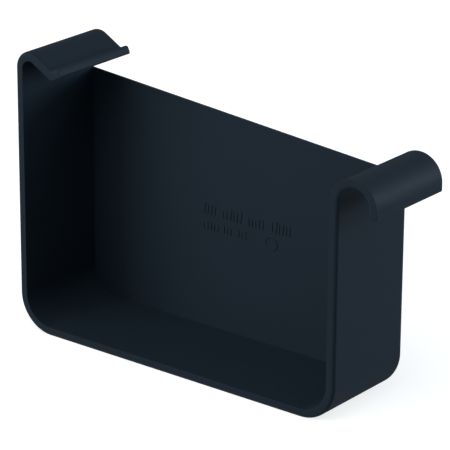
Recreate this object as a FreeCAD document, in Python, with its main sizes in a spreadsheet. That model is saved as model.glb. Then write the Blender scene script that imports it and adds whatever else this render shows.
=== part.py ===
import FreeCAD, Part
import math
import os

import Sketcher
from FreeCAD import Vector

# Gutter end cap for a 125 mm box gutter, moulded in one piece. Millimetres, +Z up.
# X runs from the rear wall (against the fascia) to the front wall, Y from the open rim to the end plate.
# The sections are drawn from the rear wall's outer face and the underside, in the plane of the open rim.
# The finished cap is then placed with its origin in the middle of the flat underside.
NODE = "end_cap"

SIZES = {
    # what goes into the cap, and the walls that hold it
    "gutter_width": 123.4,
    "fit_gap": 0.3,
    "wall": 3.0,
    "plate_thickness": 3.0,
    "socket_depth": 35.0,
    "corner_radius": 13.0,
    # end plate: its top edge falls from the rear wall to the front wall
    "plate_rear_height": 83.9,
    "plate_front_height": 73.5,
    # hook over the gutter's rear edge
    "hook_height": 91.6,
    "hook_bend_radius": 2.95,
    "hook_slope": 30.0,
    "hook_run": 7.4,
    "lip_rise": 25.0,
    "lip_run": 3.2,
    # shell over the gutter's front bead
    "bead_height": 74.15,
    "bead_bore_radius": 5.7,
    "bead_skirt": 2.8,
    # rounded edges
    "rim_round": 1.2,
    "back_round": 2.8,
    "valley_round": 0.8,
    "keel_round": 2.0,
    "lip_round": 1.0,
    "end_round": 0.6,
}

CAP_WIDTH = "(Sizes.gutter_width + 2 * Sizes.fit_gap + 2 * Sizes.wall)"

# two lengths closer than this are the same
SAME = 1e-4

doc = FreeCAD.newDocument("GutterEndCap")


def make_sheet():
    sheet = doc.addObject("Spreadsheet::Sheet", "Sizes")
    for row, (name, value) in enumerate(SIZES.items(), start=1):
        sheet.set(f"A{row}", name)
        sheet.set(f"B{row}", str(value))
        sheet.setAlias(f"B{row}", name)
    doc.recompute()
    return sheet


sheet = make_sheet()


def size(name):
    return float(sheet.get(name))


def cap_width():
    return size("gutter_width") + 2 * size("fit_gap") + 2 * size("wall")


def origin_plane(body, role):
    return next(plane for plane in body.Origin.OriginFeatures if plane.Role == role)


def section_sketch(body, name, depth=None):
    """A sketch across the gutter: its x is the object's X and its y the object's Z."""
    sketch = body.newObject("Sketcher::SketchObject", name)
    sketch.AttachmentSupport = [(origin_plane(body, "XZ_Plane"), "")]
    sketch.MapMode = "FlatFace"
    if depth:
        sketch.setExpression("AttachmentOffset.Base.z", f"-{depth}")
    return sketch


def line(sketch, start, end):
    return sketch.addGeometry(Part.LineSegment(Vector(*start, 0), Vector(*end, 0)))


def arc(sketch, centre, radius, start_angle, end_angle):
    circle = Part.Circle(Vector(*centre, 0), Vector(0, 0, 1), radius)
    return sketch.addGeometry(
        Part.ArcOfCircle(circle, math.radians(start_angle), math.radians(end_angle))
    )


def constrain(sketch, kind, *where):
    return sketch.addConstraint(Sketcher.Constraint(kind, *where))


def drive(sketch, name, formula, kind, *where):
    """A dimension with a name of its own, bound to the sheet."""
    index = sketch.addConstraint(Sketcher.Constraint(kind, *where))
    sketch.renameConstraint(index, name)
    sketch.setExpression(f"Constraints.{name}", formula)


# how a sketch numbers a line's or an arc's points, and its own origin and axes
START, END, CENTRE = range(1, 4)
ORIGIN = (-1, START)
X_AXIS, Z_AXIS = -1, -2


def outer_line(sketch, rear_height, front_height):
    """The walls' outer line: down the rear, along the floor and up the front, with rounded corners."""
    width, radius = cap_width(), size("corner_radius")
    rear, front = size(rear_height), size(front_height)
    rear_side = line(sketch, (0, rear), (0, radius))
    rear_corner = arc(sketch, (radius, radius), radius, 180, 270)
    floor = line(sketch, (radius, 0), (width - radius, 0))
    front_corner = arc(sketch, (width - radius, radius), radius, 270, 360)
    front_side = line(sketch, (width, radius), (width, front))
    constrain(sketch, "Tangent", rear_side, END, rear_corner, START)
    constrain(sketch, "Tangent", rear_corner, END, floor, START)
    constrain(sketch, "Tangent", floor, END, front_corner, START)
    constrain(sketch, "Tangent", front_corner, END, front_side, START)
    constrain(sketch, "Vertical", rear_side)
    constrain(sketch, "Horizontal", floor)
    constrain(sketch, "Vertical", front_side)
    constrain(sketch, "PointOnObject", rear_side, START, Z_AXIS)
    constrain(sketch, "PointOnObject", floor, START, X_AXIS)
    drive(sketch, "rear_radius", "Sizes.corner_radius", "Radius", rear_corner, radius)
    drive(sketch, "front_radius", "Sizes.corner_radius", "Radius", front_corner, radius)
    drive(sketch, "width", CAP_WIDTH, "DistanceX", *ORIGIN, front_side, END, width)
    drive(sketch, "front_height", f"Sizes.{front_height}", "DistanceY", *ORIGIN, front_side, END, front)
    drive(sketch, "rear_height", f"Sizes.{rear_height}", "DistanceY", *ORIGIN, rear_side, START, rear)
    return rear_side, rear_corner, front_corner, front_side


def plate_outline(body):
    """The end plate's outline: the walls' outer line, closed by the sloping top edge."""
    sketch = section_sketch(body, "plate_outline", "Sizes.socket_depth")
    rear_side, _, _, front_side = outer_line(sketch, "plate_rear_height", "plate_front_height")
    top = line(sketch, (cap_width(), size("plate_front_height")), (0, size("plate_rear_height")))
    constrain(sketch, "Coincident", front_side, END, top, START)
    constrain(sketch, "Coincident", top, END, rear_side, START)
    return sketch


def wall_section(body):
    """Rear wall, floor and front wall, of one thickness, with two rounded corners."""
    width, wall, radius = cap_width(), size("wall"), size("corner_radius")
    rear, front, inner = size("hook_height"), size("bead_height"), radius - wall
    sketch = section_sketch(body, "wall_section")
    rear_out, rear_corner_out, front_corner_out, front_out = outer_line(sketch, "hook_height", "bead_height")
    front_top = line(sketch, (width, front), (width - wall, front))
    front_in = line(sketch, (width - wall, front), (width - wall, radius))
    front_corner_in = arc(sketch, (width - radius, radius), inner, 270, 360)
    floor_in = line(sketch, (width - radius, wall), (radius, wall))
    rear_corner_in = arc(sketch, (radius, radius), inner, 180, 270)
    rear_in = line(sketch, (wall, radius), (wall, rear))
    rear_top = line(sketch, (wall, rear), (0, rear))
    constrain(sketch, "Tangent", front_in, END, front_corner_in, END)
    constrain(sketch, "Tangent", front_corner_in, START, floor_in, START)
    constrain(sketch, "Tangent", floor_in, END, rear_corner_in, END)
    constrain(sketch, "Tangent", rear_corner_in, START, rear_in, START)
    constrain(sketch, "Coincident", front_out, END, front_top, START)
    constrain(sketch, "Coincident", front_top, END, front_in, START)
    constrain(sketch, "Coincident", rear_in, END, rear_top, START)
    constrain(sketch, "Coincident", rear_top, END, rear_out, START)
    for upright in (front_in, rear_in):
        constrain(sketch, "Vertical", upright)
    for level in (floor_in, front_top, rear_top):
        constrain(sketch, "Horizontal", level)
    constrain(sketch, "Coincident", rear_corner_out, CENTRE, rear_corner_in, CENTRE)
    constrain(sketch, "Coincident", front_corner_out, CENTRE, front_corner_in, CENTRE)
    drive(sketch, "wall", "Sizes.wall", "DistanceX", *ORIGIN, rear_in, END, wall)
    return sketch


def moved(point, distance, angle):
    """A point of the section, moved at an angle in degrees from X towards Z."""
    turn = math.radians(angle)
    return (point[0] + distance * math.cos(turn), point[1] + distance * math.sin(turn))


def bend_end(radius):
    """Where the bend over the gutter's rear edge runs out into the slope, at a radius from its middle."""
    centre = (size("wall") + size("hook_bend_radius"), size("hook_height"))
    return moved(centre, radius, 90 - size("hook_slope"))


def hook_corners():
    """The valley, the keel below it, and the lip's upper and lower corner, as points of the section."""
    wall, slope, rise = size("wall"), size("hook_slope"), size("lip_rise")
    valley = moved(bend_end(wall + size("hook_bend_radius")), size("hook_run"), -slope)
    # the underside turns the same corner as the valley, one wall lower
    drop = wall / math.cos(math.radians((rise + slope) / 2))
    keel = moved(valley, drop, (rise - slope) / 2 - 90)
    lip_top = moved(valley, size("lip_run"), rise)
    lip_foot = moved(lip_top, wall, rise - 90)
    return valley, keel, lip_top, lip_foot


def hook_section(body):
    """The rear wall's top: bent inwards over the gutter's edge, down a slope, and up into a lip."""
    wall, height, bend = size("wall"), size("hook_height"), size("hook_bend_radius")
    run, lip = size("hook_run"), size("lip_run")
    slope, rise = math.radians(size("hook_slope")), math.radians(size("lip_rise"))
    centre, crest_end, bore_end = (wall + bend, height), bend_end(wall + bend), bend_end(bend)
    valley, keel, lip_top, lip_foot = hook_corners()
    sketch = section_sketch(body, "hook_section")
    foot = line(sketch, (wall, height), (0, height))
    start_angle = 90 - size("hook_slope")
    crest = arc(sketch, centre, wall + bend, start_angle, 180)
    slope_top = line(sketch, crest_end, valley)
    lip_up = line(sketch, valley, lip_top)
    lip_end = line(sketch, lip_top, lip_foot)
    lip_under = line(sketch, lip_foot, keel)
    slope_under = line(sketch, keel, bore_end)
    bore = arc(sketch, centre, bend, start_angle, 180)
    constrain(sketch, "Coincident", foot, END, crest, END)
    constrain(sketch, "Tangent", crest, START, slope_top, START)
    constrain(sketch, "Coincident", slope_top, END, lip_up, START)
    constrain(sketch, "Coincident", lip_up, END, lip_end, START)
    constrain(sketch, "Coincident", lip_end, END, lip_under, START)
    constrain(sketch, "Coincident", lip_under, END, slope_under, START)
    constrain(sketch, "Tangent", slope_under, END, bore, START)
    constrain(sketch, "Coincident", bore, END, foot, START)
    constrain(sketch, "Horizontal", foot)
    constrain(sketch, "Coincident", crest, CENTRE, bore, CENTRE)
    constrain(sketch, "Horizontal", foot, END, crest, CENTRE)
    constrain(sketch, "PointOnObject", foot, END, Z_AXIS)
    constrain(sketch, "Parallel", slope_top, slope_under)
    constrain(sketch, "Parallel", lip_up, lip_under)
    constrain(sketch, "Perpendicular", lip_up, lip_end)
    drive(sketch, "height", "Sizes.hook_height", "DistanceY", *ORIGIN, foot, END, height)
    drive(sketch, "wall", "Sizes.wall", "DistanceX", foot, END, foot, START, wall)
    drive(sketch, "bend", "Sizes.hook_bend_radius", "Radius", bore, bend)
    drive(sketch, "run", "Sizes.hook_run", "Distance", slope_top, START, slope_top, END, run)
    drive(sketch, "lip", "Sizes.lip_run", "Distance", lip_up, START, lip_up, END, lip)
    drive(sketch, "lip_wall", "Sizes.wall", "Distance", lip_end, START, lip_end, END, wall)
    drive(sketch, "slope", "-Sizes.hook_slope * 1 deg", "Angle", slope_top, -slope)
    drive(sketch, "rise", "Sizes.lip_rise * 1 deg", "Angle", lip_up, rise)
    return sketch


def bead_section(body):
    """The front wall's top: a half round bent outwards over the gutter's bead, with a short skirt."""
    width, wall, height = cap_width(), size("wall"), size("bead_height")
    bore, skirt = size("bead_bore_radius"), size("bead_skirt")
    crest = bore + wall
    centre = (width + bore, height)
    inside, outside, low = centre[0] + bore, centre[0] + crest, height - skirt
    sketch = section_sketch(body, "bead_section")
    foot = line(sketch, (width - wall, height), (width, height))
    hollow = arc(sketch, centre, bore, 0, 180)
    skirt_in = line(sketch, (inside, height), (inside, low))
    skirt_end = line(sketch, (inside, low), (outside, low))
    skirt_out = line(sketch, (outside, low), (outside, height))
    shell = arc(sketch, centre, crest, 0, 180)
    constrain(sketch, "Coincident", foot, END, hollow, END)
    constrain(sketch, "Tangent", hollow, START, skirt_in, START)
    constrain(sketch, "Coincident", skirt_in, END, skirt_end, START)
    constrain(sketch, "Coincident", skirt_end, END, skirt_out, START)
    constrain(sketch, "Tangent", skirt_out, END, shell, START)
    constrain(sketch, "Coincident", shell, END, foot, START)
    constrain(sketch, "Horizontal", foot)
    constrain(sketch, "Coincident", hollow, CENTRE, shell, CENTRE)
    constrain(sketch, "Horizontal", foot, END, hollow, CENTRE)
    constrain(sketch, "Horizontal", skirt_end)
    constrain(sketch, "Vertical", skirt_in)
    constrain(sketch, "Vertical", skirt_out)
    drive(sketch, "bore", "Sizes.bead_bore_radius", "Radius", hollow, bore)
    drive(sketch, "wall", "Sizes.wall", "DistanceX", foot, START, foot, END, wall)
    drive(sketch, "width", CAP_WIDTH, "DistanceX", *ORIGIN, foot, END, width)
    drive(sketch, "height", "Sizes.bead_height", "DistanceY", *ORIGIN, foot, END, height)
    drive(sketch, "skirt", "Sizes.bead_skirt", "DistanceY", skirt_in, END, skirt_in, START, skirt)
    return sketch


def pad(body, sketch, name, length):
    """Extrudes a section from its own plane towards the end plate."""
    feature = body.newObject("PartDesign::Pad", name)
    feature.Profile = sketch
    feature.Reversed = True
    feature.setExpression("Length", length)
    sketch.Visibility = False
    doc.recompute()
    return feature


def fillet(body, base, name, radius, edges):
    feature = body.newObject("PartDesign::Fillet", name)
    feature.Base = (base, edges)
    feature.setExpression("Radius", radius)
    doc.recompute()
    return feature


def near(value, target):
    return abs(value - target) < SAME


def edges_where(feature, test):
    """Names of the edges that pass a test on their box."""
    chosen = []
    for number, edge in enumerate(feature.Shape.Edges, start=1):
        if test(edge.BoundBox):
            chosen.append(f"Edge{number}")
    return chosen


def corner_edges(feature, points):
    """Names of the edges that run along Y through the given points (X, Z) of the section."""

    def runs_through(box):
        is_straight = near(box.XMin, box.XMax) and near(box.ZMin, box.ZMax)
        return is_straight and any(near(box.XMin, x) and near(box.ZMin, z) for x, z in points)

    return edges_where(feature, runs_through)


def back_plate(body):
    """The end plate, its outer edge rounded all round, the free top edge too."""
    plate = pad(body, plate_outline(body), "plate", "Sizes.plate_thickness")
    back = size("socket_depth") + size("plate_thickness")
    outer = edges_where(plate, lambda box: near(box.YMin, back) and near(box.YMax, back))
    return fillet(body, plate, "plate_back_round", "Sizes.back_round", outer)


def skirt_corners():
    """The two corners of the bead shell's lower edge, as points of the section."""
    inside = cap_width() + 2 * size("bead_bore_radius")
    low = size("bead_height") - size("bead_skirt")
    return (inside, low), (inside + size("wall"), low)


def build_cap():
    """The whole cap: plate, walls, hook and bead shell in one body, then the rounded edges."""
    body = doc.addObject("PartDesign::Body", NODE)
    body.Label = NODE
    back_plate(body)
    pad(body, wall_section(body), "walls", "Sizes.socket_depth")
    pad(body, hook_section(body), "hook", "Sizes.socket_depth")
    bead = pad(body, bead_section(body), "bead_shell", "Sizes.socket_depth")
    valley, keel, lip_top, lip_foot = hook_corners()
    fold = fillet(body, bead, "valley_fold", "Sizes.valley_round", corner_edges(bead, [valley]))
    fold = fillet(body, fold, "keel_fold", "Sizes.keel_round", corner_edges(fold, [keel]))
    # one edge of the open rim brings in all that run on from it: the whole outer side, hook to bead
    middle = cap_width() / 2

    def is_rim_floor(box):
        return near(box.YMax, 0) and near(box.ZMax, 0) and box.XMin < middle < box.XMax

    rim = fillet(body, fold, "rim_round", "Sizes.rim_round", edges_where(fold, is_rim_floor))
    lip = fillet(body, rim, "lip_round", "Sizes.lip_round", corner_edges(rim, [lip_top]))
    ends = corner_edges(lip, [lip_foot, *skirt_corners()])
    fillet(body, lip, "end_round", "Sizes.end_round", ends)
    body.setExpression("Placement.Base.x", f"-{CAP_WIDTH} / 2")
    body.setExpression("Placement.Base.y", "-(Sizes.socket_depth + Sizes.plate_thickness) / 2")
    return body


cap = build_cap()


def check(objects):
    """Stops before anything is written if a feature or a finished shape isn't sound."""
    for item in doc.Objects:
        if {"Invalid", "Error"} & set(item.State):
            raise RuntimeError(f"{item.Name} failed: {item.State}")
        if item.TypeId == "Sketcher::SketchObject" and not item.FullyConstrained:
            raise RuntimeError(f"{item.Name} isn't fully constrained")
    for item in objects:
        if item.Shape.isNull() or not item.Shape.isValid() or len(item.Shape.Solids) != 1:
            raise RuntimeError(f"{item.Label} has no sound solid")


def write(objects):
    os.makedirs("parts", exist_ok=True)
    for item in objects:
        item.Shape.exportStep(f"parts/{item.Label}.step")
        box = item.Shape.optimalBoundingBox()
        print(f"{item.Label}: {box.XLength:.2f} x {box.YLength:.2f} x {box.ZLength:.2f} mm,"
              f" {item.Shape.Volume / 1000:.2f} cm3")


doc.recompute()
check([cap])
write([cap])
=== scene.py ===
"""The look of a box gutter's end cap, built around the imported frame.

The cap is one moulding: a wall section with a hook over the gutter's rear edge and a half-round shell over
its front bead, swept along its depth and closed by the end plate. Geometry Nodes sweep that section and
round every edge by the radius that each of its points carries. Everything is in metres, in the frame of the
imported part: X from the rear wall to the front wall, Y from the open rim to the end plate, Z up.
"""

import logging
import math
from collections.abc import Mapping, Sequence
from dataclasses import dataclass
from enum import Enum

import bmesh
import bpy
import numpy as np
from mathutils import Matrix, Vector

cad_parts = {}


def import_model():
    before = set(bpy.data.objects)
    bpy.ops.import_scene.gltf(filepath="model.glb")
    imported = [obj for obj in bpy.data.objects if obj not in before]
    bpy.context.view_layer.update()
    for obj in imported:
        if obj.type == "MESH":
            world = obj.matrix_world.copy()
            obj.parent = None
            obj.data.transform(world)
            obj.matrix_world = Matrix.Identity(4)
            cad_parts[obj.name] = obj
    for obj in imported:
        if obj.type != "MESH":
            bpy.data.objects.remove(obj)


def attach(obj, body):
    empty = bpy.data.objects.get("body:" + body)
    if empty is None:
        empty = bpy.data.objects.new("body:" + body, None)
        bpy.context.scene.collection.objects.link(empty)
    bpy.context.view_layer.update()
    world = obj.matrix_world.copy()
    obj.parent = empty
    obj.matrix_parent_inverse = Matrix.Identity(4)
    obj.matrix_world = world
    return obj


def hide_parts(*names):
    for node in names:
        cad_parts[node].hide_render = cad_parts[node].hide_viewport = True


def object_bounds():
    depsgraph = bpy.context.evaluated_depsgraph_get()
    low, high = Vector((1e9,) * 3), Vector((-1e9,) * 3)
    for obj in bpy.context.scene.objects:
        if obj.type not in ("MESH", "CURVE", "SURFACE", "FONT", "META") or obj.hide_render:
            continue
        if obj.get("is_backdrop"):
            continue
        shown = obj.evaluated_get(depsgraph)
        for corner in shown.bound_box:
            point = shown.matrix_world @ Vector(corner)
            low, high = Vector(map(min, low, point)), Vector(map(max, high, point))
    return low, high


log = logging.getLogger("end_cap")

NODE = "end_cap"
MM = 0.001
# the rear wall's outer face, the open rim and the underside, which the cap's own sizes start from
CORNER = (-65 * MM, -19 * MM, 0.0)
WELD = 1e-6
SHARP = math.radians(35)

Point = np.ndarray
Feed = object


# node trees


class Graph:
    """A node tree while it is made: each call adds one node, sets its options and feeds its inputs."""

    def __init__(self, tree: bpy.types.NodeTree) -> None:
        """Keeps the tree that the nodes go into."""
        self.tree = tree

    def add(
        self, kind: str, feeds: Mapping[str | int, Feed] | None = None, **options: object
    ) -> bpy.types.Node:
        """Adds a node.

        Args:
            kind: The node's type name.
            feeds: For each input, by name or number, the socket or the value that it gets.
            **options: The node's own settings.

        Returns:
            The new node.
        """
        node = self.tree.nodes.new(kind)
        for name, value in options.items():
            setattr(node, name, value)
        for key, value in (feeds or {}).items():
            if isinstance(value, bpy.types.NodeSocket):
                self.tree.links.new(value, node.inputs[key])
            else:
                node.inputs[key].default_value = value
        return node

    def math(self, operation: str, *values: Feed) -> bpy.types.NodeSocket:
        """Adds a Math node.

        Args:
            operation: What the node does.
            *values: Sockets or numbers, in the node's order.

        Returns:
            Its result.
        """
        return self.add("ShaderNodeMath", dict(enumerate(values)), operation=operation).outputs[0]

    def vector(self, operation: str, *values: Feed) -> bpy.types.NodeSocket:
        """Adds a Vector Math node.

        Args:
            operation: What the node does.
            *values: Sockets or vectors, in the node's order.

        Returns:
            Its vector result.
        """
        node = self.add("ShaderNodeVectorMath", dict(enumerate(values)), operation=operation)
        return node.outputs[0]


class Tree(Graph):
    """A Geometry Nodes tree with named inputs and one geometry output."""

    def __init__(self, name: str, sockets: Sequence[tuple[str, str]]) -> None:
        """Makes the tree and its sockets.

        Args:
            name: The tree's name.
            sockets: For each input after the geometry, its name and its kind, such as Float or Int.
        """
        super().__init__(bpy.data.node_groups.new(name, "GeometryNodeTree"))
        interface = self.tree.interface
        interface.new_socket("Geometry", in_out="OUTPUT", socket_type="NodeSocketGeometry")
        interface.new_socket("Geometry", in_out="INPUT", socket_type="NodeSocketGeometry")
        for label, kind in sockets:
            interface.new_socket(label, in_out="INPUT", socket_type=f"NodeSocket{kind}")
        self.inputs = self.tree.nodes.new("NodeGroupInput").outputs

    def named(self, name: str, kind: str) -> bpy.types.NodeSocket:
        """Reads an attribute of the geometry.

        Args:
            name: The attribute's name.
            kind: Its data type, such as FLOAT.

        Returns:
            The attribute as a field.
        """
        node = self.add("GeometryNodeInputNamedAttribute", {"Name": name}, data_type=kind)
        return node.outputs["Attribute"]

    def stored(
        self,
        geometry: bpy.types.NodeSocket,
        name: str,
        value: Feed,
        kind: str,
        domain: str,
        selection: Feed = True,
    ) -> bpy.types.NodeSocket:
        """Writes an attribute.

        Args:
            geometry: What carries it.
            name: The attribute's name.
            value: Its value or field.
            kind: Its data type.
            domain: POINT or FACE.
            selection: Where it is written.

        Returns:
            The geometry with the attribute.
        """
        feeds = {"Geometry": geometry, "Selection": selection, "Name": name, "Value": value}
        return self.add(
            "GeometryNodeStoreNamedAttribute", feeds, data_type=kind, domain=domain
        ).outputs[0]

    def part_of(self, geometry: bpy.types.NodeSocket, selection: Feed) -> bpy.types.NodeSocket:
        """Takes some faces of a geometry.

        Args:
            geometry: What they are taken from.
            selection: The field that is true on them.

        Returns:
            Those faces alone.
        """
        feeds = {"Geometry": geometry, "Selection": selection}
        node = self.add("GeometryNodeSeparateGeometry", feeds, domain="FACE")
        return node.outputs["Selection"]

    def close(self, geometry: bpy.types.NodeSocket, material: Feed | None = None) -> None:
        """Ends the tree.

        Args:
            geometry: The tree's result.
            material: The material that the result gets, for a tree that makes a finished piece.
        """
        if material is not None:
            geometry = self.add("GeometryNodeRealizeInstances", {0: geometry}).outputs[0]
            feeds = {"Geometry": geometry, "Material": material}
            geometry = self.add("GeometryNodeSetMaterial", feeds).outputs[0]
        self.tree.links.new(geometry, self.tree.nodes.new("NodeGroupOutput").inputs[0])


def applied(
    name: str, mesh: bpy.types.Mesh, tree: bpy.types.NodeTree, values: Mapping[str, Feed]
) -> bpy.types.Mesh:
    """Runs a Geometry Nodes tree on a mesh, and gives the result as a plain mesh.

    Args:
        name: The result's name.
        mesh: What the tree starts from.
        tree: The tree.
        values: For each named input, its value.

    Returns:
        The result, with no modifier and no instance left.
    """
    carrier = bpy.data.objects.new(name + "_carrier", mesh)
    bpy.context.scene.collection.objects.link(carrier)
    modifier = carrier.modifiers.new("tree", "NODES")
    modifier.node_group = tree
    for item in tree.interface.items_tree:
        if item.item_type == "SOCKET" and item.in_out == "INPUT" and item.name in values:
            modifier[item.identifier] = values[item.name]
    depsgraph = bpy.context.evaluated_depsgraph_get()
    result = bpy.data.meshes.new_from_object(
        carrier.evaluated_get(depsgraph), preserve_all_data_layers=True, depsgraph=depsgraph
    )
    result.name = name
    carrier.modifiers.remove(modifier)
    bpy.data.objects.remove(carrier)
    return result


def shaded(name: str, mesh: bpy.types.Mesh) -> bpy.types.Object:
    """Makes a closed mesh a finished piece: welded, facing outwards, smooth between its sharp edges.

    Args:
        name: The piece's name.
        mesh: Its mesh, in place.

    Returns:
        The piece's object, at the origin.
    """
    bm = bmesh.new()
    bm.from_mesh(mesh)
    bmesh.ops.remove_doubles(bm, verts=bm.verts, dist=WELD)
    bmesh.ops.dissolve_degenerate(bm, edges=bm.edges, dist=WELD)
    bmesh.ops.recalc_face_normals(bm, faces=bm.faces)
    for face in bm.faces:
        face.smooth = True
    for edge in bm.edges:
        edge.smooth = edge.is_manifold and edge.calc_face_angle() < SHARP
    open_edges = sum(not edge.is_manifold for edge in bm.edges)
    bm.to_mesh(mesh)
    bm.free()
    piece = bpy.data.objects.new(name, mesh)
    bpy.context.scene.collection.objects.link(piece)
    weighted = piece.modifiers.new("weighted", "WEIGHTED_NORMAL")
    weighted.keep_sharp = True
    depsgraph = bpy.context.evaluated_depsgraph_get()
    piece.data = bpy.data.meshes.new_from_object(
        piece.evaluated_get(depsgraph), preserve_all_data_layers=True, depsgraph=depsgraph
    )
    piece.data.name = name
    piece.modifiers.remove(weighted)
    bpy.data.meshes.remove(mesh)
    log.info("%s: %d open edges", name, open_edges)
    return piece


# finishes


@dataclass(frozen=True)
class PvcFinish:
    """Satin grey PVC as it leaves the mould: an even colour, a faint grain, and rounded edges lightened by
    a painted sheen.
    """

    colour: tuple[float, float, float] = (0.0100, 0.0169, 0.0245)
    cloud_gain: float = 0.07
    cloud_size: float = 30 * MM
    cloud_detail: float = 3.0
    roughness: float = 0.55
    roughness_spread: float = 0.05
    grazing_gain: float = 0.45
    grazing_power: float = 3.0
    specular: float = 0.03
    ior: float = 1.5
    grain_size: float = 0.35 * MM
    grain_detail: float = 2.0
    grain_depth: float = 0.012 * MM
    # painted sheen: how much the base colour is lightened along the rounded edges, standing in for a
    # highlight there
    edge_sheen_gain: float = 0.15
    sheen_noise_size: float = 2.5 * MM
    sheen_noise_detail: float = 4.0
    noise_roughness: float = 0.55

    def material(self, name: str) -> bpy.types.Material:
        """Builds the material.

        Args:
            name: Its name.

        Returns:
            A node material on Object coordinates and the edge attribute.
        """
        material = bpy.data.materials.new(name)
        material.use_nodes = True
        material.node_tree.nodes.clear()
        graph = Graph(material.node_tree)
        place = graph.add("ShaderNodeTexCoord").outputs["Object"]

        def noise(size: float, detail: float) -> bpy.types.NodeSocket:
            """Noise with features of one size, in metres."""
            look = {"Scale": 1 / size, "Detail": detail, "Roughness": self.noise_roughness}
            return graph.add("ShaderNodeTexNoise", {"Vector": place, **look}).outputs[0]

        cloud = noise(self.cloud_size, self.cloud_detail)
        # a noise that varies the roughness, and the strength of the painted edge sheen
        sheen_and_gloss_noise = noise(self.sheen_noise_size, self.sheen_noise_detail)
        grain = noise(self.grain_size, self.grain_detail)
        edge = graph.add("ShaderNodeAttribute", attribute_name="edge").outputs["Fac"]
        # painted sheen: the base colour is lightened along the rounded edges, where a highlight would fall
        edge_sheen = graph.math("MULTIPLY", edge, sheen_and_gloss_noise)

        swing = graph.math("MULTIPLY_ADD", cloud, 2 * self.cloud_gain, 1 - self.cloud_gain)
        lift = graph.math("MULTIPLY_ADD", edge_sheen, self.edge_sheen_gain, swing)
        base = graph.add("ShaderNodeVectorMath", {0: self.colour, "Scale": lift}, operation="SCALE")

        low = self.roughness - self.roughness_spread
        rough = graph.math("MULTIPLY_ADD", sheen_and_gloss_noise, 2 * self.roughness_spread, low)
        # at a low angle the gloss spreads out, so the rounded edges don't glint with the pale floor
        facing = graph.add("ShaderNodeLayerWeight", {"Blend": 0.5}).outputs["Facing"]
        grazing = graph.math("POWER", facing, self.grazing_power)
        rough = graph.math("MULTIPLY_ADD", grazing, self.grazing_gain, rough)
        bump = graph.add(
            "ShaderNodeBump", {"Height": grain, "Distance": self.grain_depth, "Strength": 1.0}
        )
        surface = graph.add(
            "ShaderNodeBsdfPrincipled",
            {
                "Base Color": base.outputs[0],
                "Roughness": rough,
                "Normal": bump.outputs[0],
                "Specular IOR Level": self.specular,
                "IOR": self.ior,
            },
        )
        graph.add("ShaderNodeOutputMaterial", {"Surface": surface.outputs[0]})
        return material


# the moulding


def towards(angle: float) -> Point:
    """The unit vector in the section's plane at an angle in degrees from +X towards +Z."""
    return np.array([math.cos(math.radians(angle)), math.sin(math.radians(angle))])


@dataclass
class Station:
    """One place along the wall: a point on its outer and on its inner side, and the way out at each."""

    outer: Point
    inner: Point
    outer_out: Point
    inner_out: Point
    rim_radius: float = 0.0


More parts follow.
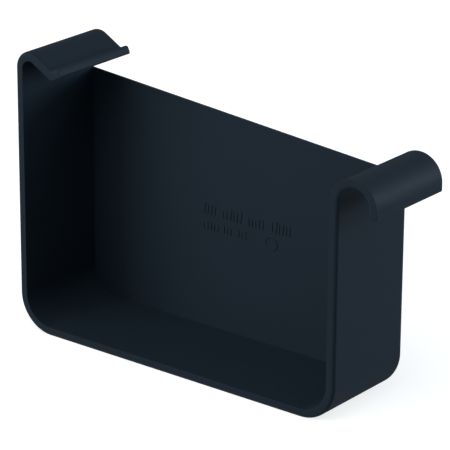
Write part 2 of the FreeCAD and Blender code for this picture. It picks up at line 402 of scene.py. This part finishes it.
@dataclass
class WallSection:
    """The wall's section, from the hook's lip round to the bead shell's skirt.

    Its points are measured from the rear wall's outer face and from the underside.
    """

    width: float = 130 * MM
    wall: float = 3 * MM
    corner_radius: float = 13 * MM
    plate_rear_height: float = 83.9 * MM
    plate_front_height: float = 73.5 * MM
    crest_height: float = 97.55 * MM
    bend_radius: float = 2.95 * MM
    slope: float = 30.0
    slope_run: float = 7.4 * MM
    lip_rise: float = 25.0
    lip_run: float = 3.2 * MM
    valley_round: float = 0.8 * MM
    keel_round: float = 2.0 * MM
    lip_round: float = 1.0 * MM
    bead_height: float = 74.15 * MM
    bead_bore: float = 5.7 * MM
    skirt: float = 2.8 * MM
    end_round: float = 0.6 * MM
    rim_round: float = 1.2 * MM
    soft_edge: float = 0.15 * MM
    taper: float = 0.4 * MM
    end_stations: int = 6
    fold_stations: int = 9
    bend_stations: int = 28
    corner_stations: int = 22
    bead_stations: int = 40

    def top_of_plate(self, x: float) -> float:
        """Height of the end plate's sloping top edge at a distance from the rear wall's outer face."""
        fall = (self.plate_rear_height - self.plate_front_height) / self.width
        return self.plate_rear_height - fall * x

    def plate_normal(self) -> Point:
        """The way out of the end plate across its top edge."""
        fall = math.atan2(self.plate_rear_height - self.plate_front_height, self.width)
        return towards(90 - math.degrees(fall))

    def stations(self) -> tuple[list[Station], int, int]:
        """Walks along the wall.

        Returns:
            The stations in order, and the numbers of the two that lie at the end plate's top edge.
        """
        run = [*self._lip_end(), *self._fold(), *self._bend()]
        run += self._wall_at(0.0, self.wall, -1.0, self.taper)
        rear = len(run)
        run += self._wall_at(0.0, self.wall, -1.0, 0.0)
        run += self._corner(self.corner_radius, 180, 270)
        run += self._corner(self.width - self.corner_radius, 270, 360)
        front = len(run)
        run += self._wall_at(self.width, self.width - self.wall, 1.0, 0.0)
        run += [*self._bead(), *self._skirt_end()]
        return run, rear, front

    def _wall_at(self, outer: float, inner: float, way: float, above: float) -> list[Station]:
        """Makes a station on an upright wall, at the plate's top edge or just above it.

        Args:
            outer: The distance of the wall's outer side from the rear wall's outer face.
            inner: The distance of its inner side from there.
            way: Which way is out: -1 on the rear wall, and 1 on the front wall.
            above: The station's height above the plate's top edge.

        Returns:
            The station, in a list of its own.
        """
        out = np.array([way, 0.0])
        points = [np.array([x, self.top_of_plate(x) + above]) for x in (outer, inner)]
        return [Station(*points, out, -out, self.rim_round)]

    def _lip_end(self) -> list[Station]:
        """Makes the hook's free end, with its two rounded corners.

        Returns:
            Its stations, from the end's face to the lip's full thickness.
        """
        along, up = towards(self.lip_rise), towards(90 + self.lip_rise)
        corner = self._valley() + self.lip_run * along
        top = corner - self.lip_round * (along + up)
        foot = corner - self.end_round * along - (self.wall - self.end_round) * up
        run = []
        for turn in np.linspace(0, 90, self.end_stations):
            out = towards(self.lip_rise + turn)
            under = towards(self.lip_rise - turn)
            rim = self.soft_edge + (self.rim_round - self.soft_edge) * turn / 90
            upper, lower = top + self.lip_round * out, foot + self.end_round * under
            run.append(Station(upper, lower, out, under, rim))
        return run

    def _bend_centre(self) -> Point:
        """The middle of the bend over the gutter's rear edge."""
        reach = self.wall + self.bend_radius
        return np.array([reach, self.crest_height - reach])

    def _valley(self) -> Point:
        """The corner between the hook's slope and its lip."""
        end = self._bend_centre() + (self.wall + self.bend_radius) * towards(90 - self.slope)
        return end + self.slope_run * towards(-self.slope)

    def _fold(self) -> list[Station]:
        """Makes the fold between lip and slope, rounded in the valley and along the keel below it.

        Returns:
            Its stations, from the lip to the slope.
        """
        start, end = 90 + self.lip_rise, 90 - self.slope
        middle = towards((start + end) / 2)
        stretch = 1 / math.cos(math.radians((start - end) / 2))
        keel = self._valley() - self.wall * stretch * middle
        above = self._valley() + self.valley_round * stretch * middle
        below = keel + self.keel_round * stretch * middle
        run = []
        for angle in np.linspace(start, end, self.fold_stations):
            out = towards(angle)
            valley, under = above - self.valley_round * out, below - self.keel_round * out
            run.append(Station(valley, under, out, -out, self.rim_round))
        return run

    def _bend(self) -> list[Station]:
        """Makes the bend over the gutter's rear edge.

        Returns:
            Its stations, from the slope to the rear wall.
        """
        centre, bore = self._bend_centre(), self.bend_radius
        run = []
        for angle in np.linspace(90 - self.slope, 180, self.bend_stations):
            out = towards(angle)
            outer = centre + (self.wall + bore) * out
            run.append(Station(outer, centre + bore * out, out, -out, self.rim_round))
        return run

    def _corner(self, middle: float, start: float, end: float) -> list[Station]:
        """Makes a rounded corner between the floor and a wall.

        Args:
            middle: The distance of its centre from the rear wall's outer face.
            start: The angle in degrees at which it starts.
            end: The angle at which it ends.

        Returns:
            Its stations.
        """
        centre, radius = np.array([middle, self.corner_radius]), self.corner_radius
        run = []
        for angle in np.linspace(start, end, self.corner_stations):
            out = towards(angle)
            inner = centre + (radius - self.wall) * out
            run.append(Station(centre + radius * out, inner, out, -out, self.rim_round))
        return run

    def _bead(self) -> list[Station]:
        """Makes the half-round shell over the gutter's bead.

        Returns:
            Its stations, from the front wall to the skirt.
        """
        centre = np.array([self.width + self.bead_bore, self.bead_height])
        run = []
        for angle in np.linspace(180, 0, self.bead_stations):
            out = towards(angle)
            hollow = centre + self.bead_bore * out
            shell = centre + (self.bead_bore + self.wall) * out
            run.append(Station(hollow, shell, -out, out, self.rim_round))
        return run

    def _skirt_end(self) -> list[Station]:
        """Makes the shell's lower edge, with its two rounded corners.

        Returns:
            Its stations, from the skirt's full thickness to the edge's face.
        """
        radius, low = self.end_round, self.bead_height - self.skirt
        inside = self.width + 2 * self.bead_bore
        hollow = np.array([inside + radius, low + radius])
        shell = np.array([inside + self.wall - radius, low + radius])
        run = []
        for turn in np.linspace(0, 90, self.end_stations):
            out, other = towards(180 + turn), towards(-turn)
            rim = self.rim_round + (self.soft_edge - self.rim_round) * turn / 90
            run.append(Station(hollow + radius * out, shell + radius * other, out, other, rim))
        return run


class Rounding(Enum):
    """Which way a rounded edge is walked: out from a flat face, or in onto one."""

    FROM_FACE = 1
    ONTO_FACE = -1


@dataclass
class CapMoulding:
    """The whole cap: the wall section swept along the depth, and the end plate that closes it."""

    section: WallSection
    depth: float = 35 * MM
    plate: float = 3 * MM
    back_round: float = 2.8 * MM
    rim_steps: int = 6
    soft_steps: int = 4
    back_steps: int = 9
    origin: tuple[float, float, float] = CORNER

    def build(self) -> bpy.types.Object:
        """Sweeps the section.

        Returns:
            The moulding, in place in the frame.
        """
        material = bpy.data.materials.new("unfinished")
        values = {
            "Depth": self.depth,
            "Plate": self.plate,
            "Rim Steps": self.rim_steps,
            "Soft Steps": self.soft_steps,
            "Back Steps": self.back_steps,
            "Material": material,
        }
        mesh = applied("moulding", self._section_mesh(), self._sweep_tree(), values)
        mesh.transform(Matrix.Translation(self.origin))
        return shaded("cap_moulding", mesh)

    def dress(self, piece: bpy.types.Object, material: bpy.types.Material) -> None:
        """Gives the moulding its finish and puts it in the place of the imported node.

        Args:
            piece: The moulding.
            material: Its finish.
        """
        piece.data.materials.clear()
        piece.data.materials.append(material)
        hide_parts(NODE)
        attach(piece, "root")

    def _section_mesh(self) -> bpy.types.Mesh:
        """Lays the section out flat.

        Returns:
            A mesh in the plane of the open rim: a row of faces for the wall, and one face for the panel
            between the walls. Its points carry the ways out and the radii that the sweep reads.
        """
        section = self.section
        run, rear, front = section.stations()
        count, plate_out = len(run), section.plate_normal()
        points = [station.outer for station in run] + [station.inner for station in run]
        rim_out = [station.outer_out for station in run] + [station.inner_out for station in run]
        back_out = [vector.copy() for vector in rim_out]
        rim = [station.rim_radius for station in run] + [section.soft_edge] * count
        covered = range(rear, front + 1)
        end = [0.0 if k in covered else section.soft_edge for k in range(count)] * 2
        back = [self.back_round if k in covered else 0.0 for k in range(count)] + [0.0] * count
        soft = [0.0] * (2 * count)
        for corner in (rear, front):
            side = run[corner].outer_out
            back_out[corner] = (side + plate_out) / (1 + side @ plate_out)
            back_out[count + corner] = plate_out
            back[count + corner] = self.back_round
        left, right = run[rear].inner, run[front].inner
        share = section.taper / np.linalg.norm(right - left)
        top = []
        for place in (1 - share, share):
            top.append(len(points))
            points.append(left + place * (right - left))
            rim_out.append(plate_out)
            back_out.append(plate_out)
            rim.append(0.0)
            end.append(0.0)
            back.append(self.back_round)
            soft.append(section.soft_edge)
        faces = [(k, k + 1, count + k + 1, count + k) for k in range(count - 1)]
        behind = [k in covered and k + 1 in covered for k in range(count - 1)]
        faces.append([count + k for k in covered] + top)
        mesh = bpy.data.meshes.new("section")
        mesh.from_pydata([(x, 0.0, z) for x, z in points], [], faces)
        for name, rows in (("rim_out", rim_out), ("back_out", back_out)):
            flat = np.array([(x, 0.0, z) for x, z in rows], np.float32)
            mesh.attributes.new(name, "FLOAT_VECTOR", "POINT").data.foreach_set("vector", flat.ravel())
        radii = {"rim_radius": rim, "end_radius": end, "back_radius": back, "soft_radius": soft}
        for name, values in radii.items():
            mesh.attributes.new(name, "FLOAT", "POINT").data.foreach_set("value", values)
        flags = {"behind": [*behind, True], "panel": [False] * len(behind) + [True]}
        for name, values in flags.items():
            mesh.attributes.new(name, "BOOLEAN", "FACE").data.foreach_set("value", values)
        return mesh

    def _sweep_tree(self) -> bpy.types.NodeTree:
        """Builds the tree that sweeps the flat section.

        Returns:
            The tree. It makes the wall from the rim to the plate, and the plate behind it, and welds them.
        """
        tree = Tree(
            "swept_section",
            [
                ("Depth", "Float"),
                ("Plate", "Float"),
                ("Rim Steps", "Int"),
                ("Soft Steps", "Int"),
                ("Back Steps", "Int"),
                ("Material", "Material"),
            ],
        )
        rounding = self._rounding_tree()
        ports = tree.inputs
        section = tree.stored(
            ports["Geometry"],
            "flat",
            tree.add("GeometryNodeInputPosition").outputs[0],
            "FLOAT_VECTOR",
            "POINT",
        )
        panel, behind = tree.named("panel", "BOOLEAN"), tree.named("behind", "BOOLEAN")
        is_wall = tree.add("FunctionNodeBooleanMath", {0: panel}, operation="NOT").outputs[0]

        def rounded(
            geometry: bpy.types.NodeSocket,
            way: Rounding,
            level: Feed,
            radius: str,
            out: str,
            steps: bpy.types.NodeSocket,
        ) -> bpy.types.NodeSocket:
            """Adds one rounded edge, on the faces that move.

            Args:
                geometry: What the edge is on.
                way: Whether it starts from a flat face or ends on one.
                level: That face's distance behind the rim.
                radius: The attribute that holds its radius.
                out: The attribute that holds its way out.
                steps: Into how many rings it is divided.

            Returns:
                The geometry with the edge.
            """
            feeds = {
                "Geometry": geometry,
                "Level": level,
                "Radius": tree.named(radius, "FLOAT"),
                "Out": tree.named(out, "FLOAT_VECTOR"),
                "Way": float(way.value),
                "Steps": steps,
            }
            return tree.add("GeometryNodeGroup", feeds, node_tree=rounding).outputs[0]

        def start(
            geometry: bpy.types.NodeSocket, level: Feed, radius: str, out: str
        ) -> bpy.types.NodeSocket:
            """Lays flat faces at a level, drawn in by the radius of their edge.

            Args:
                geometry: The faces.
                level: Their distance behind the rim.
                radius: The attribute that holds the radius.
                out: The attribute that holds the way out.

            Returns:
                The faces in place, marked as those that move.
            """
            drawn = tree.add(
                "ShaderNodeVectorMath",
                {0: tree.named(out, "FLOAT_VECTOR"), "Scale": tree.named(radius, "FLOAT")},
                operation="SCALE",
            ).outputs[0]
            place = tree.vector("SUBTRACT", tree.named("flat", "FLOAT_VECTOR"), drawn)
            lift = tree.add("ShaderNodeCombineXYZ", {"Y": level}).outputs[0]
            place = tree.vector("ADD", place, lift)
            feeds = {"Geometry": geometry, "Position": place}
            moved = tree.add("GeometryNodeSetPosition", feeds).outputs[0]
            return tree.stored(moved, "moving", True, "BOOLEAN", "FACE")

        wall = start(tree.part_of(section, is_wall), 0.0, "rim_radius", "rim_out")
        rim_face = tree.add("GeometryNodeFlipFaces", {0: wall}).outputs[0]
        wall = rounded(
            wall, Rounding.FROM_FACE, 0.0, "rim_radius", "rim_out", ports["Rim Steps"]
        )
        wall = rounded(
            wall, Rounding.ONTO_FACE, ports["Depth"], "end_radius", "rim_out", ports["Soft Steps"]
        )
        moving = tree.named("moving", "BOOLEAN")
        hidden = tree.add("FunctionNodeBooleanMath", {0: moving, 1: behind}).outputs[0]
        wall = tree.add(
            "GeometryNodeDeleteGeometry", {"Geometry": wall, "Selection": hidden}, domain="FACE"
        ).outputs[0]

        plate = start(tree.part_of(section, behind), ports["Depth"], "soft_radius", "back_out")
        front_face = tree.part_of(plate, panel)
        front_face = tree.add("GeometryNodeFlipFaces", {0: front_face}).outputs[0]
        plate = rounded(
            plate, Rounding.FROM_FACE, ports["Depth"], "soft_radius", "back_out", ports["Soft Steps"]
        )
        back = tree.math("ADD", ports["Depth"], ports["Plate"])
        plate = rounded(
            plate, Rounding.ONTO_FACE, back, "back_radius", "back_out", ports["Back Steps"]
        )
        join = tree.add("GeometryNodeJoinGeometry")
        for part in (wall, rim_face, plate, front_face):
            tree.tree.links.new(part, join.inputs[0])
        welded = tree.add(
            "GeometryNodeMergeByDistance", {"Geometry": join.outputs[0], "Distance": WELD}
        ).outputs[0]
        tree.close(welded, ports["Material"])
        return tree.tree

    def _rounding_tree(self) -> bpy.types.NodeTree:
        """Builds the group that rounds an edge.

        The faces that move are extruded ring by ring. Each ring lies on a quarter circle of the radius that
        its points carry, so one call rounds edges of different radii.

        Returns:
            The group.
        """
        tree = Tree(
            "rounded_edge",
            [
                ("Level", "Float"),
                ("Radius", "Float"),
                ("Out", "Vector"),
                ("Way", "Float"),
                ("Steps", "Int"),
            ],
        )
        ports = tree.inputs
        first = tree.add("GeometryNodeRepeatInput")
        last = tree.add("GeometryNodeRepeatOutput")
        first.pair_with_output(last)
        # from a face the first ring is a step away; onto a face it is the straight run's end
        lead = tree.math("MULTIPLY_ADD", ports["Way"], 0.5, 0.5)
        rings = tree.math("SUBTRACT", tree.math("ADD", ports["Steps"], 1.0), lead)
        tree.tree.links.new(rings, first.inputs["Iterations"])
        tree.tree.links.new(ports["Geometry"], first.inputs["Geometry"])
        turn = tree.math("DIVIDE", tree.math("ADD", first.outputs["Iteration"], lead), ports["Steps"])
        turn = tree.math("SUBTRACT", lead, tree.math("MULTIPLY", ports["Way"], turn))
        angle = tree.math("MULTIPLY", turn, math.pi / 2)
        drawn = tree.math("SUBTRACT", 1.0, tree.math("COSINE", angle))
        sunk = tree.math("SUBTRACT", 1.0, tree.math("SINE", angle))
        drawn = tree.math("MULTIPLY", drawn, ports["Radius"])
        sunk = tree.math("MULTIPLY", tree.math("MULTIPLY", sunk, ports["Radius"]), ports["Way"])
        inward = tree.add("ShaderNodeVectorMath", {0: ports["Out"], "Scale": drawn}, operation="SCALE")
        place = tree.vector("SUBTRACT", tree.named("flat", "FLOAT_VECTOR"), inward.outputs[0])
        level = tree.math("ADD", ports["Level"], sunk)
        place = tree.vector("ADD", place, tree.add("ShaderNodeCombineXYZ", {"Y": level}).outputs[0])

        extruded = tree.add(
            "GeometryNodeExtrudeMesh",
            {
                "Mesh": first.outputs["Geometry"],
                "Selection": tree.named("moving", "BOOLEAN"),
                "Offset Scale": 0.0,
                "Individual": False,
            },
            mode="FACES",
        )
        top = extruded.outputs["Top"]
        moved = tree.add(
            "GeometryNodeSetPosition",
            {"Geometry": extruded.outputs["Mesh"], "Selection": top, "Position": place},
        ).outputs[0]
        moved = tree.stored(moved, "moving", top, "BOOLEAN", "FACE")
        # the edge attribute peaks mid-way round each rounded edge; the finish paints its edge sheen there
        is_round = tree.math("GREATER_THAN", ports["Radius"], WELD)
        edge = tree.math("SINE", tree.math("MULTIPLY", angle, 2.0))
        edge = tree.math("MULTIPLY", edge, is_round)
        moved = tree.stored(moved, "edge", edge, "FLOAT", "POINT", top)
        tree.tree.links.new(moved, last.inputs["Geometry"])
        tree.close(last.outputs["Geometry"])
        return tree.tree


# the marks on the plate


@dataclass(frozen=True)
class MarkGroup:
    """Some raised strokes side by side on the end plate's inner face."""

    start: float
    foot: float
    height: float
    count: int
    seed: int


@dataclass
class MouldMarks:
    """Small plain strokes and a ring, raised from the end plate as a moulder's marks are."""

    groups: tuple[MarkGroup, ...] = (
        MarkGroup(50.9 * MM, 42.6 * MM, 4.1 * MM, 4, 3),
        MarkGroup(58.9 * MM, 42.6 * MM, 4.1 * MM, 6, 8),
        MarkGroup(69.5 * MM, 42.6 * MM, 4.1 * MM, 5, 1),
        MarkGroup(79.0 * MM, 42.6 * MM, 4.1 * MM, 6, 5),
        MarkGroup(50.9 * MM, 37.4 * MM, 3.2 * MM, 5, 2),
        MarkGroup(59.2 * MM, 37.4 * MM, 3.2 * MM, 3, 6),
        MarkGroup(65.2 * MM, 37.4 * MM, 3.2 * MM, 3, 4),
    )
    pitch: float = 1.42 * MM
    tilt: float = 9.0
    shortest: float = 0.55
    face_depth: float = 35 * MM
    stroke_width: float = 0.6 * MM
    relief: float = 0.22 * MM
    seat: float = 0.1 * MM
    soft_edge: float = 0.1 * MM
    end_share: float = 0.45
    end_segments: int = 4
    edge_segments: int = 2
    ring_place: tuple[float, float] = (78.8 * MM, 38.5 * MM)
    ring_radius: float = 2.4 * MM
    ring_turns: int = 48
    ring_profile: int = 9
    origin: tuple[float, float, float] = CORNER

    def build(self) -> bpy.types.Object:
        """Builds the strokes and the ring.

        Returns:
            One piece with all the marks, in place in the frame.
        """
        material = bpy.data.materials.new("unfinished_marks")
        tree = self._row_tree()
        bm = bmesh.new()
        for group in self.groups:
            stroke = self._stroke(group.height)
            values = {
                "Stroke": stroke,
                "Count": group.count,
                "Pitch": self.pitch,
                "Tilt": math.radians(self.tilt),
                "Shortest": self.shortest,
                "Seed": group.seed,
                "Material": material,
            }
            marks = applied("marks", bpy.data.meshes.new("start"), tree, values)
            marks.transform(Matrix.Translation((group.start, self.face_depth, group.foot)))
            bm.from_mesh(marks)
            bpy.data.objects.remove(stroke)
        mesh = self._ring()
        bm.from_mesh(mesh)
        bm.to_mesh(mesh)
        bm.free()
        mesh.transform(Matrix.Translation(self.origin))
        return shaded("mould_marks", mesh)

    def dress(self, piece: bpy.types.Object, material: bpy.types.Material) -> None:
        """Gives the marks the moulding's finish.

        Args:
            piece: The marks.
            material: The finish.
        """
        piece.data.materials.clear()
        piece.data.materials.append(material)
        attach(piece, "root")

    def _stroke(self, height: float) -> bpy.types.Object:
        """Makes one upright stroke, with rounded ends and softened edges, seated in the plate.

        Args:
            height: Its height above its lower end, which is at the origin.

        Returns:
            The stroke's object.
        """
        bm = bmesh.new()
        bmesh.ops.create_cube(bm, size=1.0)
        thick = self.relief + self.seat
        shape = Matrix.Diagonal((self.stroke_width, thick, height, 1.0))
        bmesh.ops.transform(bm, matrix=shape, verts=bm.verts)
        shift = Vector((0.0, self.seat - thick / 2, height / 2))
        bmesh.ops.translate(bm, vec=shift, verts=bm.verts)

        def rounded(edges: list[bmesh.types.BMEdge], radius: float, segments: int) -> None:
            """Rounds some edges of the stroke."""
            cut = {"offset": radius, "segments": segments, "profile": 0.5}
            bmesh.ops.bevel(bm, geom=edges, affect="EDGES", **cut)

        upright = [e for e in bm.edges if abs(e.verts[0].co.y - e.verts[1].co.y) > thick / 2]
        rounded(upright, self.end_share * self.stroke_width, self.end_segments)
        low = min(v.co.y for v in bm.verts)
        face = [e for e in bm.edges if all(abs(v.co.y - low) < WELD for v in e.verts)]
        rounded(face, self.soft_edge, self.edge_segments)
        mesh = bpy.data.meshes.new("stroke")
        bm.to_mesh(mesh)
        bm.free()
        stroke = bpy.data.objects.new("stroke", mesh)
        bpy.context.scene.collection.objects.link(stroke)
        return stroke

    def _row_tree(self) -> bpy.types.NodeTree:
        """Builds the tree that sets strokes out in a row.

        Returns:
            The tree. It puts one stroke at each pitch, and varies the strokes' height and lean.
        """
        tree = Tree(
            "row_of_strokes",
            [
                ("Stroke", "Object"),
                ("Count", "Int"),
                ("Pitch", "Float"),
                ("Tilt", "Float"),
                ("Shortest", "Float"),
                ("Seed", "Int"),
                ("Material", "Material"),
            ],
        )
        ports = tree.inputs
        step = tree.add("ShaderNodeCombineXYZ", {"X": ports["Pitch"]}).outputs[0]
        line = tree.add("GeometryNodeMeshLine", {"Count": ports["Count"], "Offset": step})
        stroke = tree.add("GeometryNodeObjectInfo", {"Object": ports["Stroke"]})

        def varied(low: Feed, high: Feed) -> bpy.types.NodeSocket:
            """A number between two limits, of its own for each stroke."""
            feeds = {2: low, 3: high, "Seed": ports["Seed"]}
            return tree.add("FunctionNodeRandomValue", feeds, data_type="FLOAT").outputs[1]

        lean = varied(tree.math("MULTIPLY", ports["Tilt"], -1.0), ports["Tilt"])
        turn = tree.add("ShaderNodeCombineXYZ", {"Y": lean}).outputs[0]
        share = varied(ports["Shortest"], 1.0)
        scale = tree.add("ShaderNodeCombineXYZ", {"X": 1.0, "Y": 1.0, "Z": share}).outputs[0]
        feeds = {
            "Points": line.outputs[0],
            "Instance": stroke.outputs["Geometry"],
            "Rotation": turn,
            "Scale": scale,
        }
        placed = tree.add("GeometryNodeInstanceOnPoints", feeds).outputs[0]
        tree.close(placed, ports["Material"])
        return tree.tree

    def _ring(self) -> bpy.types.Mesh:
        """Makes the ring beside the strokes, a half-round rib whose foot is sunk in the plate.

        Returns:
            The ring's mesh.
        """
        bm = bmesh.new()
        half = self.stroke_width / 2
        profile = [(-half, self.seat), (half, self.seat)]
        for turn in np.linspace(0, math.pi, self.ring_profile):
            profile.append((half * math.cos(turn), -self.relief * math.sin(turn)))
        rings = []
        for turn in range(self.ring_turns):
            angle = 2 * math.pi * turn / self.ring_turns
            ring = []
            for across, out in profile:
                reach = self.ring_radius + across
                x = self.ring_place[0] + reach * math.cos(angle)
                z = self.ring_place[1] + reach * math.sin(angle)
                ring.append(bm.verts.new((x, self.face_depth + out, z)))
            rings.append(ring)
        for ring, other in zip(rings, rings[1:] + rings[:1]):
            for k in range(len(profile)):
                m = (k + 1) % len(profile)
                bm.faces.new((ring[k], ring[m], other[m], other[k]))
        mesh = bpy.data.meshes.new("ring")
        bm.to_mesh(mesh)
        bm.free()
        return mesh


# the scene round the cap


@dataclass(frozen=True)
class PhotoCamera:
    """The camera, where the photograph was taken from."""

    azimuth: float = 38.086
    elevation: float = 20.472
    roll: float = 0.379
    focal_pixels: float = 2756.3
    frame_pixels: float = 450.0
    distance: float = 929.48 * MM
    across: float = 68.787 * MM
    upward: float = 34.27 * MM
    origin: tuple[float, float, float] = CORNER
    sensor: float = 36.0
    near: float = 0.05
    far: float = 20.0

    def build(self) -> bpy.types.Object:
        """Makes the camera and sets it as the scene's.

        Returns:
            The camera's object.
        """
        a, e, t = (math.radians(v) for v in (self.azimuth, self.elevation, self.roll))
        right = Vector((math.cos(a), math.sin(a), 0.0))
        ahead = Vector((-math.sin(a) * math.cos(e), math.cos(a) * math.cos(e), -math.sin(e)))
        up = right.cross(ahead)
        side = right * math.cos(t) + up * math.sin(t)
        top = up * math.cos(t) - right * math.sin(t)
        data = bpy.data.cameras.new("photo_camera")
        data.sensor_width = self.sensor
        data.lens = self.focal_pixels * self.sensor / self.frame_pixels
        data.clip_start, data.clip_end = self.near, self.far
        camera = bpy.data.objects.new("photo_camera", data)
        bpy.context.scene.collection.objects.link(camera)
        place = side * self.across + top * self.upward - ahead * self.distance + Vector(self.origin)
        turn = Matrix((side, top, -ahead)).transposed().to_4x4()
        camera.matrix_world = Matrix.Translation(place) @ turn
        bpy.context.scene.camera = camera
        return camera


@dataclass(frozen=True)
class SoftLamp:
    """A soft box aimed at the cap. Azimuth 0 is straight in front of the open rim."""

    name: str
    azimuth: float
    elevation: float
    power: float
    width: float = 0.8
    height: float = 0.8
    distance: float = 1.6
    tint: tuple[float, float, float] = (1.0, 1.0, 1.0)

    def build(self, aim: Vector) -> bpy.types.Object:
        """Hangs the lamp.

        Args:
            aim: The point that it is turned to.

        Returns:
            The lamp's object.
        """
        a, e = math.radians(self.azimuth), math.radians(self.elevation)
        way = Vector((math.sin(a) * math.cos(e), -math.cos(a) * math.cos(e), math.sin(e)))
        data = bpy.data.lights.new(self.name, "AREA")
        data.shape, data.energy, data.color = "RECTANGLE", self.power, self.tint
        data.size, data.size_y = self.width, self.height
        lamp = bpy.data.objects.new(self.name, data)
        bpy.context.scene.collection.objects.link(lamp)
        lamp.rotation_euler = way.to_track_quat("Z", "Y").to_euler()
        lamp.location = aim + way * self.distance
        lamp.visible_camera = False
        return lamp


@dataclass(frozen=True)
class Studio:
    """A pale floor under soft lamps, in a dim even surround."""

    floor_side: float = 12.0
    floor_drop: float = 0.02 * MM
    floor_tone: float = 0.45
    floor_glow: float = 0.75
    surround: float = 0.12
    aim: tuple[float, float, float] = (0.0, 0.0, 45 * MM)
    lamps: tuple[SoftLamp, ...] = (
        SoftLamp("left_lamp", -40.0, 8.0, 20.6, width=1.1),
        SoftLamp("front_lamp", -15.0, 24.0, 4.3),
        SoftLamp("top_lamp", 0.0, 60.0, 16.8, width=1.6, height=1.6),
        SoftLamp("right_lamp", 150.0, 8.0, 21.7, height=0.5, tint=(0.82, 1.0, 1.16)),
        SoftLamp("back_lamp", 140.0, 31.0, 4.8, tint=(0.82, 1.0, 1.16)),
    )

    def build(self) -> None:
        """Makes the floor, the surround and the lamps."""
        self._floor()
        self._surround()
        for lamp in self.lamps:
            lamp.build(Vector(self.aim))

    def _seen(self, graph: Graph) -> bpy.types.NodeSocket:
        """Tells the rays that look from those that only light.

        Args:
            graph: The nodes of a material or of the world.

        Returns:
            One on the rays of the camera, of reflections and through glass, and zero on all others.
        """
        path = graph.add("ShaderNodeLightPath").outputs
        seen = graph.math("MAXIMUM", path["Is Camera Ray"], path["Is Glossy Ray"])
        return graph.math("MAXIMUM", seen, path["Is Transmission Ray"])

    def _floor(self) -> None:
        """Lays the floor at the cap's underside."""
        half = self.floor_side / 2
        mesh = bpy.data.meshes.new("floor")
        corners = [(-half, -half, 0.0), (half, -half, 0.0), (half, half, 0.0), (-half, half, 0.0)]
        mesh.from_pydata(corners, [], [(0, 1, 2, 3)])
        mesh.transform(Matrix.Translation((0.0, 0.0, -self.floor_drop)))
        floor = bpy.data.objects.new("floor", mesh)
        bpy.context.scene.collection.objects.link(floor)
        material = bpy.data.materials.new("pale_floor")
        material.use_nodes = True
        material.node_tree.nodes.clear()
        graph = Graph(material.node_tree)
        tone = (self.floor_tone,) * 3 + (1.0,)
        board = graph.add("ShaderNodeBsdfDiffuse", {"Color": tone}).outputs[0]
        glow = graph.math("MULTIPLY", self._seen(graph), self.floor_glow)
        light = graph.add("ShaderNodeEmission", {"Strength": glow}).outputs[0]
        both = graph.add("ShaderNodeAddShader", {0: board, 1: light}).outputs[0]
        graph.add("ShaderNodeOutputMaterial", {"Surface": both})
        mesh.materials.append(material)
        floor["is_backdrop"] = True

    def _surround(self) -> None:
        """Makes the world: a dim even grey as a light, and white where it is looked at."""
        world = bpy.data.worlds.new("surround")
        bpy.context.scene.world = world
        world.use_nodes = True
        world.node_tree.nodes.clear()
        graph = Graph(world.node_tree)
        strength = graph.math("MULTIPLY_ADD", self._seen(graph), 1 - self.surround, self.surround)
        light = graph.add("ShaderNodeBackground", {"Strength": strength}).outputs[0]
        graph.add("ShaderNodeOutputWorld", {"Surface": light})


def main() -> None:
    """Builds the cap's look and the scene round it."""
    logging.basicConfig(level=logging.INFO, format="%(message)s")
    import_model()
    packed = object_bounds()
    scene = bpy.context.scene
    scene.view_settings.view_transform = "Standard"
    PhotoCamera().build()
    Studio().build()

    pvc = PvcFinish().material("satin_pvc")
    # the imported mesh's crest is a hair below the true bend's, and the look stays inside its box
    section = WallSection(crest_height=packed[1].z)
    for part in (CapMoulding(section), MouldMarks()):
        piece = part.build()
        part.dress(piece, pvc)
        log.info("%s: %d faces", piece.name, len(piece.data.polygons))


if __name__ == "__main__":
    main()
